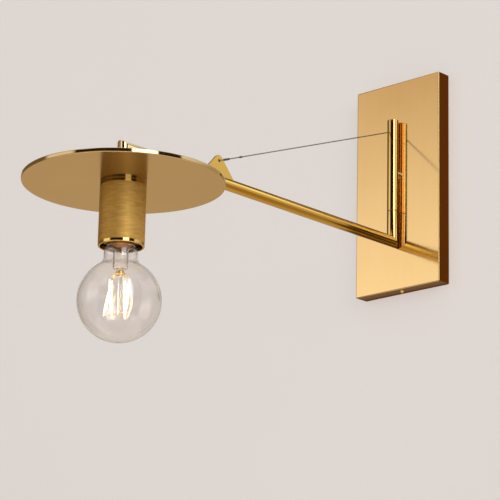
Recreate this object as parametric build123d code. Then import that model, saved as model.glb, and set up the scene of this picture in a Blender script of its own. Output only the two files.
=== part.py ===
from build123d import *
import math
import os

os.makedirs("parts", exist_ok=True)

# Swing-arm wall lamp: a flat wall box carries a short upright post, a long arm
# swings about the post, and a round disc, a holder cup and a globe bulb hang
# from the arm's far end. A thin stay wire runs from the post top to an ear on
# the arm. Millimetres. X is to the right along the wall, Y is into the wall,
# Z is up, and the origin is the middle of the wall box on the wall plane.

# Fits and clearances
seat_fit = 0.02
running_fit = 0.05
thrust_gap = 0.15
free_gap = 0.3
overrun = 20.0

# Wall box
plate_width = 115.0
plate_height = 235.0
plate_depth = 17.0
plate_sheet = 1.5
plate_edge_radius = 1.2
plate_inner_radius = 0.3

# Mounting strap behind the wall box
strap_width = 32.0
strap_thickness = 2.0
strap_tab_depth = 12.5
strap_bend_radius = 1.0
wall_slot_spacing = 140.0
wall_slot_width = 5.0
wall_slot_length = 12.0
cable_hole_diameter = 18.0
cable_hole_height = -44.0
earth_screw_height = 34.0

# Tube sizes of the post and the arm
tube_diameter = 12.0
arm_bore = 9.0
post_height = 143.0
post_standoff = 7.5
arm_length = 400.0

# Fixed knuckle of the post, with its bushes and its stud
knuckle_length = 77.9
top_length = 25.0
stud_height = 11.2
stud_diameter = 9.0
stud_thread_diameter = 8.0
stud_bore = 4.6
stud_tail = 6.5
stud_washer_diameter = 22.0
stud_washer_thickness = 1.5
stud_nut_width = 13.0
stud_nut_thickness = 4.5
bush_wall = 1.0
bush_length = 10.0
bush_flange_thickness = 0.6
bush_flange_diameter = 11.8
seam_washer_thickness = 0.5
seam_washer_diameter = 11.3

# Turning spindle and the turning ends of the post
spindle_diameter = 8.0
spindle_bore = 5.4
spindle_side_play = 0.5
window_height = 7.0
set_screw_diameter = 3.0
set_screw_rise = 3.4
cap_head = 1.5
cap_spigot = 3.0
cap_chamfer = 0.4
wire_hole_height = 56.8

# Stay wire, its ear and its crimps
wire_diameter = 1.1
wire_hole_diameter = 1.7
stop_ball_diameter = 3.4
lug_distance = 271.0
lug_rise = 21.5
lug_thickness = 2.0
lug_tip_radius = 5.8
lug_base_length = 44.0
lug_hole_diameter = 2.6
lug_hole_chamfer = 0.4
loop_bend_radius = 1.0
ferrule_length = 7.6
ferrule_start = 8.4
ferrule_wall = 0.5
tail_length = 1.6
stop_sleeve_length = 3.2
stop_sleeve_diameter = 2.0
stop_sleeve_distance = 33.0
strand_bend_radius = 1.5

# Corner fitting at the head end of the arm
fitting_diameter = 14.4
fitting_leg = 34.0
fitting_socket = 24.0
fitting_passage = 7.6
fitting_chamfer = 0.8
nipple_engagement = 12.0

# Disc shade and holder cup
disc_diameter = 195.0
disc_thickness = 4.0
disc_drop = 35.0
disc_edge_radius = 0.7
cup_diameter = 44.5
cup_height = 62.5
cup_wall = 2.0
cup_roof = 2.0
cup_band_height = 3.2
cup_groove_width = 0.4
cup_groove_depth = 0.25
cup_edge_break = 0.3
cup_chamfer = 0.5

# Threaded nipple and its washer and nut
nipple_diameter = 10.0
nipple_bore = 6.6
nipple_reach = 7.0
stem_washer_diameter = 20.0
stem_washer_thickness = 1.5
lock_nut_width = 15.0
lock_nut_thickness = 3.0

# Lamp holder inside the cup
holder_diameter = 37.0
holder_wall = 2.2
holder_cap_height = 16.0
holder_cap_roof = 3.4
holder_boss_diameter = 16.0
holder_boss_depth = 6.0
holder_edge_radius = 1.5
skirt_length = 37.0
skirt_rib_depth = 0.8
block_height = 7.5
block_rim_height = 2.0
shell_sheet = 0.5
shell_turns = 6
block_rim_step = 1.2
contact_width = 6.0
contact_sheet = 0.5
contact_reach = 9.0
clamp_screw_diameter = 3.0
clamp_screw_head = 5.6
clamp_screw_head_height = 1.8
clamp_screw_length = 5.0
clamp_screw_spread = 9.0
clamp_screw_slot_width = 0.9

# Globe bulb with a screw cap
globe_radius = 40.0
globe_glass = 1.0
neck_radius = 16.2
neck_fillet = 10.0
bulb_length = 120.0
bulb_centre_drop = 115.0
cap_radius = 13.2
cap_thread_depth = 1.1
cap_thread_pitch = 3.6
cap_thread_turns = 4
cap_sheet = 0.5
cap_length = 22.0
insulator_height = 3.4
crown_radius = 10.0
cap_skirt_height = 4.0
insulator_overlap = 2.4
insulator_plug = 2.0
tip_radius = 5.2
tip_height = 1.6
thread_clearance = 0.3
shoulder_height = 4.5
glass_tuck = 3.5

# Glass stem and lamp filaments inside the globe
stem_radius = 7.2
stem_glass = 1.0
stem_end_height = 30.0
stem_post_radius = 1.4
stem_post_length = 44.0
filament_radius = 0.9
filament_tip_radius = 0.35
filament_tip_length = 2.2
support_radius = 0.35
filament_turn = 43.3
filament_end_shares = [
    ((-0.238, 0.10, 0.488), (-0.150, 0.15, -0.388)),
    ((-0.185, -0.125, 0.512), (-0.360, -0.075, -0.362)),
    ((0.233, 0.10, 0.488), (0.175, 0.25, -0.350)),
    ((0.110, -0.150, 0.512), (0.135, -0.25, -0.388)),
]

# Terminal block and leads
terminal_width = 30.0
terminal_height = 17.0
terminal_depth = 12.0
terminal_centre_height = -20.0
terminal_ways = 3
terminal_bore = 4.2
terminal_insert_wall = 0.6
terminal_screw_diameter = 3.0
terminal_edge_radius = 0.8
block_screw_diameter = 3.0
core_diameter = 1.0
core_spacing = 1.06
flex_diameter = 3.4
flex_bend_radius = 3.8
supply_bend_radius = 3.4
window_bend_radius = 2.2
core_bend_radius = 1.2
core_rise = 1.4
core_fan_length = 8.0
supply_sheath_drop = 10.0

# Small fasteners
cover_screw_diameter = 4.0
cover_screw_head = 7.0
cover_screw_head_height = 2.2
cover_screw_length = 8.0
cover_screw_slot_width = 1.0
earth_screw_diameter = 4.0
earth_screw_head = 8.0
earth_screw_head_height = 2.8
earth_washer_diameter = 10.0
earth_washer_thickness = 1.0
grommet_lip = 1.6
grommet_wall = 1.8

# Places worked out from the sizes above
tube_radius = tube_diameter / 2
post_y = -(plate_depth + post_standoff)
post_top = post_height / 2
arm_z = tube_radius - post_height / 2
head_y = post_y - arm_length
knuckle_high = post_top - top_length
knuckle_low = knuckle_high - knuckle_length
spindle_radius = spindle_diameter / 2
knuckle_bore_radius = spindle_radius + spindle_side_play
bush_radius = spindle_radius + bush_wall
top_sleeve_low = knuckle_high + bush_flange_thickness + thrust_gap
lower_sleeve_high = knuckle_low - seam_washer_thickness - thrust_gap
disc_low = arm_z - disc_drop
disc_high = disc_low + disc_thickness
cup_low = disc_low - cup_height
fitting_low = disc_high + stem_washer_thickness
lock_nut_high = disc_low - cup_roof
holder_top = lock_nut_high - lock_nut_thickness
holder_split = holder_top - holder_cap_height
bulb_centre = disc_low - bulb_centre_drop
bulb_tip = bulb_centre - globe_radius + bulb_length
cap_high = bulb_tip - tip_height - insulator_height
cap_low = cap_high - cap_length
crown_high = cap_high + cap_thread_depth
thread_start = cap_low + cap_skirt_height
stem_end = bulb_centre + stem_end_height
post_tip = stem_end - stem_post_length
flex_low = holder_top - nipple_reach - running_fit
stud_end = plate_sheet + stud_tail - plate_depth
supply_y = stud_end + supply_bend_radius
strap_end = plate_height / 2 - plate_sheet - free_gap
screw_y = -(strap_thickness + strap_tab_depth) / 2


def upright(radius, low, high, x=0, y=0):
    """A cylinder that stands along Z between two heights."""
    solid = Cylinder(radius, high - low)
    return Pos(x, y, (low + high) / 2) * solid


def level(radius, near, far, x=0, z=0):
    """A cylinder that lies along Y between two places."""
    solid = Cylinder(radius, abs(far - near), rotation=(90, 0, 0))
    return Pos(x, (near + far) / 2, z) * solid


def block(x_size, y_low, y_high, z_low, z_high, x=0):
    """A box given by its width and its Y and Z limits."""
    solid = Box(x_size, y_high - y_low, z_high - z_low)
    return Pos(x, (y_low + y_high) / 2, (z_low + z_high) / 2) * solid


def turned(points, x=0, y=0):
    """A solid turned about an upright axis from radius and height pairs."""
    face = make_face(Polyline(*[(r, 0, z) for r, z in points], close=True))
    return Pos(x, y, 0) * revolve(face, Axis.Z, 360)


def hexagon_prism(width, low, high, x=0, y=0):
    """A six-sided nut blank that stands along Z."""
    outline = RegularPolygon(width / 2, 6, major_radius=False)
    prism = extrude(outline, high - low)
    return Pos(x, y, low) * prism


def save(shape, node):
    """Write one node's solids."""
    export_step(shape, "parts/" + node + ".step")


def group(solids):
    """Keep several separate solids together in one node."""
    return Compound(children=solids)


# Wall box and what it hides

def wall_plate_cover():
    outer = block(plate_width, -plate_depth, 0, -plate_height / 2, plate_height / 2)
    front_edges = outer.faces().sort_by(Axis.Y)[0].edges()
    depth_edges = outer.edges().filter_by(Axis.Y)
    outer = fillet(front_edges + depth_edges, plate_edge_radius)
    inner_half_height = plate_height / 2 - plate_sheet
    inner = block(plate_width - 2 * plate_sheet, -plate_depth + plate_sheet, overrun,
                  -inner_half_height, inner_half_height)
    inner_edges = inner.faces().sort_by(Axis.Y)[0].edges() + inner.edges().filter_by(Axis.Y)
    inner = fillet(inner_edges, plate_inner_radius)
    stud_hole = level(stud_thread_diameter / 2 + running_fit, -plate_depth - overrun,
                      0, z=stud_height)
    screw_holes = upright(cover_screw_diameter / 2 + running_fit, -plate_height, plate_height,
                          y=screw_y)
    return outer - inner - stud_hole - screw_holes


def wall_bracket():
    back = block(strap_width, -strap_thickness, 0, -strap_end, strap_end)
    tab_low = strap_end - strap_thickness
    upper_tab = block(strap_width, -strap_thickness - strap_tab_depth, 0, tab_low, strap_end)
    lower_tab = mirror(upper_tab, Plane.XY)
    strap = back + upper_tab + lower_tab
    outer_bends = strap.edges().filter_by(Axis.X).filter_by_position(Axis.Y, 0, 0)
    strap = fillet(outer_bends, strap_bend_radius)
    wall_slot = Plane.XZ * SlotOverall(wall_slot_length, wall_slot_width, rotation=90)
    slot = extrude(wall_slot, overrun, both=True)
    for side in (-1, 1):
        strap -= Pos(0, 0, side * wall_slot_spacing / 2) * slot
    strap -= level(cable_hole_diameter / 2, -overrun, overrun, z=cable_hole_height)
    strap -= level(earth_screw_diameter / 2, -overrun, overrun, z=earth_screw_height)
    strap -= level(block_screw_diameter / 2, -overrun, overrun, z=terminal_centre_height)
    strap -= upright(cover_screw_diameter / 2, -plate_height, plate_height, y=screw_y)
    return strap


def cover_screws():
    head_radius = cover_screw_head / 2
    dome_radius = (head_radius**2 + cover_screw_head_height**2) / (2 * cover_screw_head_height)
    face_z = plate_height / 2
    dome = Pos(0, 0, face_z + cover_screw_head_height - dome_radius) * Sphere(dome_radius)
    dome = dome & upright(head_radius, face_z, face_z + cover_screw_head_height)
    shank = upright(cover_screw_diameter / 2 - seat_fit, face_z - cover_screw_length, face_z)
    slot_depth = cover_screw_head_height / 2
    slot = block(cover_screw_head, -cover_screw_slot_width / 2, cover_screw_slot_width / 2,
                 face_z + slot_depth, face_z + cover_screw_head)
    screw = Pos(0, screw_y, 0) * (dome + shank - slot)
    return group([screw, mirror(screw, Plane.XY)])


def earth_screw():
    washer_front = -strap_thickness - earth_washer_thickness
    washer = level(earth_washer_diameter / 2, washer_front, -strap_thickness)
    head = level(earth_screw_head / 2, washer_front - earth_screw_head_height, washer_front)
    head = fillet(head.edges().sort_by(Axis.Y)[0], earth_screw_head_height / 3)
    shank = level(earth_screw_diameter / 2 - seat_fit, washer_front, 0)
    cross = block(cover_screw_slot_width, washer_front - earth_screw_head,
                  washer_front - earth_screw_head_height / 2,
                  -earth_screw_diameter / 2, earth_screw_diameter / 2)
    cross += Rot(0, 90, 0) * cross
    return Pos(0, 0, earth_screw_height) * (washer + head + shank - cross)


def cable_grommet():
    hole_radius = cable_hole_diameter / 2 - seat_fit
    lip = level(hole_radius + grommet_lip, -strap_thickness - grommet_lip, -strap_thickness)
    body = level(hole_radius, -strap_thickness, 0)
    bore = level(hole_radius - grommet_wall, -overrun, overrun)
    ring = lip + body - bore
    ring = fillet(ring.edges().sort_by(Axis.Y)[0:2], grommet_lip / 4)
    return Pos(0, 0, cable_hole_height) * ring


def terminal_way_places():
    pitch = terminal_width / terminal_ways
    return [pitch * (way - (terminal_ways - 1) / 2) for way in range(terminal_ways)]


def terminal_front():
    return -strap_thickness - terminal_depth


def terminal_block():
    z_low = terminal_centre_height - terminal_height / 2
    z_high = terminal_centre_height + terminal_height / 2
    body = block(terminal_width, terminal_front(), -strap_thickness, z_low, z_high)
    body = fillet(body.edges().filter_by(Axis.Y), terminal_edge_radius)
    bore_y = terminal_front() / 2 - strap_thickness / 2
    for x in terminal_way_places():
        body -= upright(terminal_bore / 2, z_low - overrun, z_high + overrun, x=x, y=bore_y)
        for side in (-1, 1):
            screw_z = terminal_centre_height + side * terminal_height / 4
            body -= level(terminal_screw_diameter / 2 + seat_fit, terminal_front() - overrun,
                          bore_y, x=x, z=screw_z)
    half_pitch = terminal_width / terminal_ways / 2
    body -= level(block_screw_diameter / 2 + seat_fit, terminal_front() - overrun, 0,
                  x=half_pitch, z=terminal_centre_height)
    return body


def terminal_inserts():
    solids = []
    bore_y = terminal_front() / 2 - strap_thickness / 2
    outer = terminal_bore / 2 - seat_fit
    z_low = terminal_centre_height - terminal_height / 2 + terminal_edge_radius
    z_high = terminal_centre_height + terminal_height / 2 - terminal_edge_radius
    for x in terminal_way_places():
        tube = upright(outer, z_low, z_high, x=x, y=bore_y)
        tube -= upright(outer - terminal_insert_wall, z_low - overrun, z_high + overrun,
                        x=x, y=bore_y)
        for side in (-1, 1):
            screw_z = terminal_centre_height + side * terminal_height / 4
            screw = level(terminal_screw_diameter / 2, terminal_front() + terminal_edge_radius,
                          bore_y - outer + terminal_insert_wall, x=x, z=screw_z)
            slot = block(terminal_screw_diameter, terminal_front(),
                         terminal_front() + 2 * terminal_edge_radius,
                         screw_z - terminal_insert_wall / 2, screw_z + terminal_insert_wall / 2,
                         x=x)
            tube += screw - slot
        solids.append(tube)
    return group(solids)


def supply_flex():
    """Sheathed flex that comes out of the stud and drops in front of the grommet."""
    side_view = Plane(origin=(0, 0, 0), x_dir=(0, 1, 0), z_dir=(1, 0, 0))
    route = FilletPolyline(
        (post_y + knuckle_bore_radius + running_fit, stud_height),
        (supply_y, stud_height),
        (supply_y, stud_height - supply_sheath_drop),
        radius=supply_bend_radius)
    return swept_round(side_view * route, flex_diameter)


def supply_cores():
    """Three cores that fan out from the sheath to the terminal block's ways."""
    solids = []
    top = stud_height - supply_sheath_drop - seat_fit
    block_top = terminal_centre_height + terminal_height / 2
    way_y = terminal_front() / 2 - strap_thickness / 2
    for way, x in enumerate(terminal_way_places()):
        start_x = core_spacing * (way - (terminal_ways - 1) / 2)
        route = FilletPolyline(
            (start_x, supply_y, top),
            (start_x, supply_y, top - core_rise),
            (x, way_y, top - core_fan_length),
            (x, way_y, block_top - terminal_insert_wall - core_rise),
            radius=core_bend_radius)
        solids.append(swept_round(route, core_diameter))
    return group(solids)


# Fixed middle of the post

def standoff_stud():
    radius = stud_diameter / 2
    front = level(radius, post_y, -plate_depth, z=stud_height)
    thread = level(stud_thread_diameter / 2, -plate_depth, stud_end, z=stud_height)
    thread = chamfer(thread.edges().sort_by(Axis.Y)[-1], cap_chamfer)
    passage = level(stud_bore / 2, post_y, stud_end + overrun, z=stud_height)
    cavity = upright(knuckle_bore_radius, knuckle_low, knuckle_high, y=post_y)
    return front + thread - passage - cavity


def stud_washer():
    y_low = -plate_depth + plate_sheet
    washer = level(stud_washer_diameter / 2, y_low, y_low + stud_washer_thickness, z=stud_height)
    return washer - level(stud_thread_diameter / 2 + running_fit, -overrun - plate_depth, 0,
                          z=stud_height)


def stud_nut():
    y_low = -plate_depth + plate_sheet + stud_washer_thickness
    prism = hexagon_prism(stud_nut_width, 0, stud_nut_thickness)
    prism -= upright(stud_thread_diameter / 2 + seat_fit, -overrun, overrun)
    return Pos(0, y_low, stud_height) * (Rot(-90, 0, 0) * prism)


def post_knuckle():
    body = upright(tube_radius, knuckle_low, knuckle_high, y=post_y)
    body -= upright(knuckle_bore_radius, knuckle_low - overrun, knuckle_high + overrun, y=post_y)
    pocket = bush_radius + seat_fit
    body -= upright(pocket, knuckle_low - overrun, knuckle_low + bush_length, y=post_y)
    body -= upright(pocket, knuckle_high - bush_length, knuckle_high + overrun, y=post_y)
    body -= level(stud_diameter / 2 + seat_fit, post_y, 0, z=stud_height)
    return body


def bush_ring(low, high):
    ring = upright(bush_radius, low, high, y=post_y)
    return ring - upright(spindle_radius + running_fit, low - overrun, high + overrun, y=post_y)


def upper_bush():
    flange_high = knuckle_high + bush_flange_thickness
    flange = upright(bush_flange_diameter / 2, knuckle_high, flange_high, y=post_y)
    flange -= upright(spindle_radius + running_fit, knuckle_low, post_top, y=post_y)
    return bush_ring(knuckle_high - bush_length, flange_high) + flange


def lower_bush():
    return bush_ring(knuckle_low, knuckle_low + bush_length)


def seam_washer():
    low = knuckle_low - seam_washer_thickness
    ring = upright(seam_washer_diameter / 2, low, knuckle_low, y=post_y)
    return ring - upright(spindle_radius + running_fit, low - overrun, post_top, y=post_y)


# Turning parts of the post

def pivot_spindle():
    low = arm_z + tube_radius + flex_diameter
    high = wire_hole_height - stop_ball_diameter
    body = upright(spindle_radius, low, high, y=post_y)
    body -= upright(spindle_bore / 2, low - overrun, high + overrun, y=post_y)
    return body - block(spindle_diameter + overrun, post_y, post_y + overrun,
                        stud_height - window_height / 2, stud_height + window_height / 2)


def wire_slope():
    rise = wire_hole_height - (arm_z + lug_rise)
    return rise / (lug_distance - tube_radius)


def wire_angle():
    return math.degrees(math.atan(wire_slope()))


def post_top_sleeve():
    high = post_top - cap_head
    body = upright(tube_radius, top_sleeve_low, high, y=post_y)
    bore = spindle_radius + seat_fit
    body -= upright(bore, top_sleeve_low - overrun, high + overrun, y=post_y)
    wire_drill = Cylinder(wire_hole_diameter / 2, tube_diameter, rotation=(90, 0, 0),
                          align=(Align.CENTER, Align.CENTER, Align.MIN))
    wire_drill = Rot(wire_angle(), 0, 0) * wire_drill
    body -= Pos(0, post_y, wire_hole_height + wire_slope() * tube_radius) * wire_drill
    body -= level(set_screw_diameter / 2, post_y, 0, z=top_sleeve_low + set_screw_rise)
    return body


def set_screw():
    near = post_y + spindle_radius + seat_fit
    far = post_y + tube_radius - set_screw_diameter / 8
    screw = level(set_screw_diameter / 2 - seat_fit, near, far, z=top_sleeve_low + set_screw_rise)
    socket = Rot(-90, 0, 0) * hexagon_prism(set_screw_diameter / 2, 0, overrun)
    socket_y = far - set_screw_diameter / 3
    return screw - Pos(0, socket_y, top_sleeve_low + set_screw_rise) * socket


def post_cap():
    low = post_top - cap_head
    head = upright(tube_radius, low, post_top, y=post_y)
    head = chamfer(head.edges().sort_by(Axis.Z)[-1], cap_chamfer)
    return head + upright(spindle_radius, low - cap_spigot, low, y=post_y)


def mitre_side(corner_y, turn):
    """Everything on one side of the 45 degree mitre plane of a corner on the arm's axis."""
    size = 2 * (arm_length + post_height)
    side = Box(size, size, size, align=(Align.CENTER, Align.CENTER, Align.MIN))
    return Pos(0, corner_y, arm_z) * (Rot(turn, 0, 0) * side)


def post_lower_sleeve():
    body = upright(tube_radius, arm_z - tube_radius, lower_sleeve_high, y=post_y)
    body = body & mitre_side(post_y, -45)
    body -= upright(spindle_radius + seat_fit, arm_z - tube_radius - overrun,
                    lower_sleeve_high + overrun, y=post_y)
    return body - level(arm_bore / 2, post_y - tube_radius, post_y + spindle_radius, z=arm_z)


# Arm

def socket_end_y():
    return head_y + fitting_leg - fitting_socket


def arm_tube():
    body = level(tube_radius, socket_end_y(), post_y + tube_radius, z=arm_z)
    body = body & mitre_side(post_y, 135)
    body -= level(arm_bore / 2, socket_end_y() - overrun, post_y + spindle_radius, z=arm_z)
    return body - upright(spindle_radius + seat_fit, arm_z, arm_z + post_height, y=post_y)


def wire_lug():
    half_base = lug_base_length / 2
    embed = tube_radius - lug_thickness / 4
    hole_height = lug_rise - embed
    slant = math.atan2(hole_height, half_base)
    slant += math.asin(lug_tip_radius / math.hypot(half_base, hole_height))
    peak = half_base * math.tan(slant)
    outline = Polygon((-half_base, 0), (half_base, 0), (0, peak), align=None)
    outline = fillet(outline.vertices().sort_by(Axis.Y)[-1], lug_tip_radius)
    outline -= Pos(0, hole_height) * Circle(lug_hole_diameter / 2)
    side_view = Plane(origin=(0, post_y - lug_distance, arm_z + embed), x_dir=(0, -1, 0),
                      z_dir=(-1, 0, 0))
    plate = extrude(side_view * outline, lug_thickness / 2, both=True)
    round_edges = plate.edges().filter_by(GeomType.CIRCLE)
    hole_edges = round_edges.filter_by(lambda edge: edge.radius < lug_tip_radius / 2)
    plate = chamfer(hole_edges, lug_hole_chamfer)
    return plate - level(tube_radius + seat_fit, head_y, post_y, z=arm_z)


def wire_plane():
    """Origin in the ear's hole, local X towards the post top, local Y sideways."""
    angle = math.radians(wire_angle())
    origin = (0, post_y - lug_distance, arm_z + lug_rise)
    towards_post = Vector(0, math.cos(angle), math.sin(angle))
    return Plane(origin=origin, x_dir=towards_post, z_dir=towards_post.cross(Vector(1, 0, 0)))


def wire_length():
    ball_distance = spindle_radius + seat_fit - stop_ball_diameter / 2 - running_fit
    return (lug_distance - ball_distance) / math.cos(math.radians(wire_angle()))


def strand_offset():
    return wire_diameter / 2 + running_fit


def swept_round(path, diameter):
    """A round cord of one thickness along a path."""
    section = Plane(origin=path @ 0, z_dir=path % 0) * Circle(diameter / 2)
    return sweep(section, path=path)


def stay_wire():
    wide = lug_thickness / 2 + strand_offset()
    near = strand_offset()
    bight = (lug_hole_diameter - wire_diameter) / 2 - running_fit
    leg_end = lug_tip_radius + wire_diameter / 2
    ferrule_end = ferrule_start + ferrule_length
    route = FilletPolyline(
        (wire_length(), 0),
        (ferrule_end + ferrule_length, 0),
        (ferrule_end, near),
        (ferrule_start, near),
        (leg_end, wide),
        (bight, wide),
        (bight, -wide),
        (leg_end, -wide),
        (ferrule_start, -near),
        (ferrule_end + tail_length, -near),
        radius=4 * [strand_bend_radius] + 2 * [loop_bend_radius] + 2 * [strand_bend_radius])
    return swept_round(wire_plane() * route, wire_diameter)


def wire_ferrules():
    outline = SlotOverall(2 * (wire_diameter + running_fit + ferrule_wall),
                          wire_diameter + 2 * ferrule_wall)
    strand_hole = Circle(wire_diameter / 2 + seat_fit)
    frame = wire_plane()
    start = frame.from_local_coords((ferrule_start, 0, 0))
    crimp_plane = Plane(origin=start, x_dir=frame.y_dir, z_dir=frame.x_dir)
    bores = Pos(strand_offset(), 0) * strand_hole + Pos(-strand_offset(), 0) * strand_hole
    crimp = extrude(crimp_plane * (outline - bores), ferrule_length)
    stop_at = frame.from_local_coords((stop_sleeve_distance, 0, 0))
    stop_plane = Plane(origin=stop_at, x_dir=frame.y_dir, z_dir=frame.x_dir)
    ring = Circle(stop_sleeve_diameter / 2) - strand_hole
    return group([crimp, extrude(stop_plane * ring, stop_sleeve_length)])


def wire_anchor():
    frame = wire_plane()
    centre = frame.from_local_coords((wire_length(), 0, 0))
    ball = Pos(centre) * Sphere(stop_ball_diameter / 2)
    bore_plane = Plane(origin=centre, z_dir=-frame.x_dir)
    return ball - extrude(bore_plane * Circle(wire_diameter / 2 + seat_fit), stop_ball_diameter)


# Corner fitting at the head, and the flex that runs inside the arm

def elbow(radius, leg_end, drop_end):
    """A mitred round corner: one leg along the arm, one down the head's axis."""
    leg = level(radius, head_y - overrun, leg_end, z=arm_z) & mitre_side(head_y, -45)
    drop = upright(radius, drop_end, arm_z + overrun, y=head_y) & mitre_side(head_y, 135)
    return leg + drop


def head_fitting():
    body = elbow(fitting_diameter / 2, head_y + fitting_leg, fitting_low)
    body = chamfer(body.edges().sort_by(Axis.Y)[-1], fitting_chamfer)
    body -= level(tube_radius + seat_fit, socket_end_y(), head_y + arm_length, z=arm_z)
    body -= elbow(fitting_passage / 2, socket_end_y() + overrun, fitting_low - overrun)
    return body - upright(nipple_diameter / 2 + seat_fit, fitting_low - overrun,
                          fitting_low + nipple_engagement, y=head_y)


def arm_flex():
    """Sheathed flex from the spindle's window, down, along the arm and into the holder."""
    run_z = arm_z - (fitting_passage - flex_diameter) / 2 + running_fit
    window_end = -(spindle_radius - running_fit)
    side_view = Plane(origin=(0, post_y, 0), x_dir=(0, -1, 0), z_dir=(-1, 0, 0))
    route = FilletPolyline(
        (window_end, stud_height),
        (0, stud_height),
        (0, run_z),
        (arm_length, run_z),
        (arm_length, flex_low),
        radius=[window_bend_radius, flex_bend_radius, flex_bend_radius])
    return swept_round(side_view * route, flex_diameter)


def holder_cores():
    """The two bare-ended cores that fan out from the flex to the clamp screws."""
    solids = []
    clamp_top = holder_split + block_rim_height + clamp_screw_head_height
    fan_z = clamp_top + core_rise
    side_view = Plane(origin=(0, head_y, 0), x_dir=(1, 0, 0), z_dir=(0, -1, 0))
    for side in (-1, 1):
        inner_x = side * core_spacing / 2
        outer_x = side * clamp_screw_spread
        route = FilletPolyline(
            (inner_x, flex_low - seat_fit),
            (inner_x, fan_z),
            (outer_x, fan_z),
            (outer_x, clamp_top + running_fit),
            radius=core_bend_radius)
        solids.append(swept_round(side_view * route, core_diameter))
    return group(solids)


# Head: washer, nipple, disc, cup

def stem_washer():
    ring = upright(stem_washer_diameter / 2, disc_high, fitting_low, y=head_y)
    ring = chamfer(ring.edges().sort_by(Axis.Z)[-1], cap_chamfer)
    return ring - upright(nipple_diameter / 2 + running_fit, disc_low, arm_z, y=head_y)


def threaded_nipple():
    high = fitting_low + nipple_engagement - free_gap
    low = holder_top - nipple_reach
    body = upright(nipple_diameter / 2, low, high, y=head_y)
    body = chamfer(body.edges().filter_by(GeomType.CIRCLE), cap_chamfer)
    return body - upright(nipple_bore / 2, low - overrun, high + overrun, y=head_y)


def disc_shade():
    disc = upright(disc_diameter / 2, disc_low, disc_high, y=head_y)
    disc = fillet(disc.edges().filter_by(GeomType.CIRCLE), disc_edge_radius)
    return disc - upright(nipple_diameter / 2 + running_fit, cup_low, arm_z, y=head_y)


def holder_cup():
    """Turned cup: two polished bands marked off by fine grooves, and a chamfered rim."""
    outer = cup_diameter / 2
    inner = outer - cup_wall
    roof = disc_low - cup_roof
    bore = nipple_diameter / 2 + running_fit
    groove_root = outer - cup_groove_depth
    outline = [(bore, disc_low), (outer - cup_edge_break, disc_low),
               (outer, disc_low - cup_edge_break)]
    for groove_z in (disc_low - cup_band_height, cup_low + cup_band_height):
        groove_high = groove_z + cup_groove_width / 2
        groove_bottom = groove_z - cup_groove_width / 2
        outline += [(outer, groove_high), (groove_root, groove_high),
                    (groove_root, groove_bottom), (outer, groove_bottom)]
    outline += [(outer, cup_low + cup_chamfer), (outer - cup_chamfer, cup_low),
                (inner, cup_low), (inner, roof), (bore, roof)]
    return turned(outline, y=head_y)


def lock_nut():
    nut = hexagon_prism(lock_nut_width, holder_top, lock_nut_high, y=head_y)
    return nut - upright(nipple_diameter / 2 + seat_fit, cup_low, arm_z, y=head_y)


# Lamp holder

def holder_cap():
    radius = holder_diameter / 2
    roof = holder_top - holder_cap_roof
    body = upright(radius, holder_split, holder_top, y=head_y)
    body = fillet(body.edges().sort_by(Axis.Z)[-1], holder_edge_radius)
    body -= upright(radius - holder_wall, holder_split - overrun, roof, y=head_y)
    body += upright(holder_boss_diameter / 2, roof - holder_boss_depth, roof, y=head_y)
    return body - upright(nipple_diameter / 2 + seat_fit, cup_low, arm_z, y=head_y)


def contact_block():
    inner = holder_diameter / 2 - holder_wall - seat_fit
    low = holder_split - block_height
    rim_high = holder_split + block_rim_height
    body = upright(inner, low, holder_split, y=head_y)
    body += upright(inner - block_rim_step, holder_split, rim_high, y=head_y)
    for side in (-1, 1):
        body -= upright(clamp_screw_diameter / 2, rim_high - clamp_screw_length, rim_high + overrun,
                        x=side * clamp_screw_spread, y=head_y)
    return body


def holder_skirt():
    radius = holder_diameter / 2
    low = holder_split - skirt_length
    body = upright(radius, low, holder_split, y=head_y)
    for groove_z in (low + skirt_length / 4, low + skirt_length / 2):
        ring = upright(radius + overrun, groove_z - skirt_rib_depth, groove_z + skirt_rib_depth,
                       y=head_y)
        ring -= upright(radius - skirt_rib_depth, low, holder_split, y=head_y)
        body -= ring
    body = fillet(body.edges().sort_by(Axis.Z)[0], holder_edge_radius / 2)
    body -= upright(radius - holder_wall, holder_split - block_height, holder_split + overrun,
                    y=head_y)
    shell_radius = cap_radius + thread_clearance + shell_sheet
    return body - upright(shell_radius + running_fit, low - overrun, holder_split + overrun,
                          y=head_y)


def thread_wave(crest, start, half_turns):
    """Side of a rolled round thread, from a crest and through its roots in turn."""
    points = []
    for step in range(half_turns + 1):
        radius = crest if step % 2 == 0 else crest - cap_thread_depth
        points.append((radius, 0, start + step * cap_thread_pitch / 2))
    return Spline(points, tangents=len(points) * [(0, 0, 1)])


def thin_turned(outside, inside):
    """A sheet part turned about the head's axis from its outer and inner sides."""
    lower_rim = Line(outside[0] @ 0, inside[0] @ 0)
    upper_rim = Line(outside[-1] @ 1, inside[-1] @ 1)
    face = make_face(outside + inside + [lower_rim, upper_rim])
    return Pos(0, head_y, 0) * revolve(face, Axis.Z, 360)


def screw_shell():
    """Rolled thread shell, in step with the screw cap's thread when the bulb is home."""
    high = holder_split - block_height
    sides = []
    for crest in (cap_radius + thread_clearance + shell_sheet, cap_radius + thread_clearance):
        wave = thread_wave(crest, thread_start, 2 * shell_turns)
        sides.append([wave, Line(wave @ 1, (crest, 0, high))])
    return thin_turned(*sides)


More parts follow.
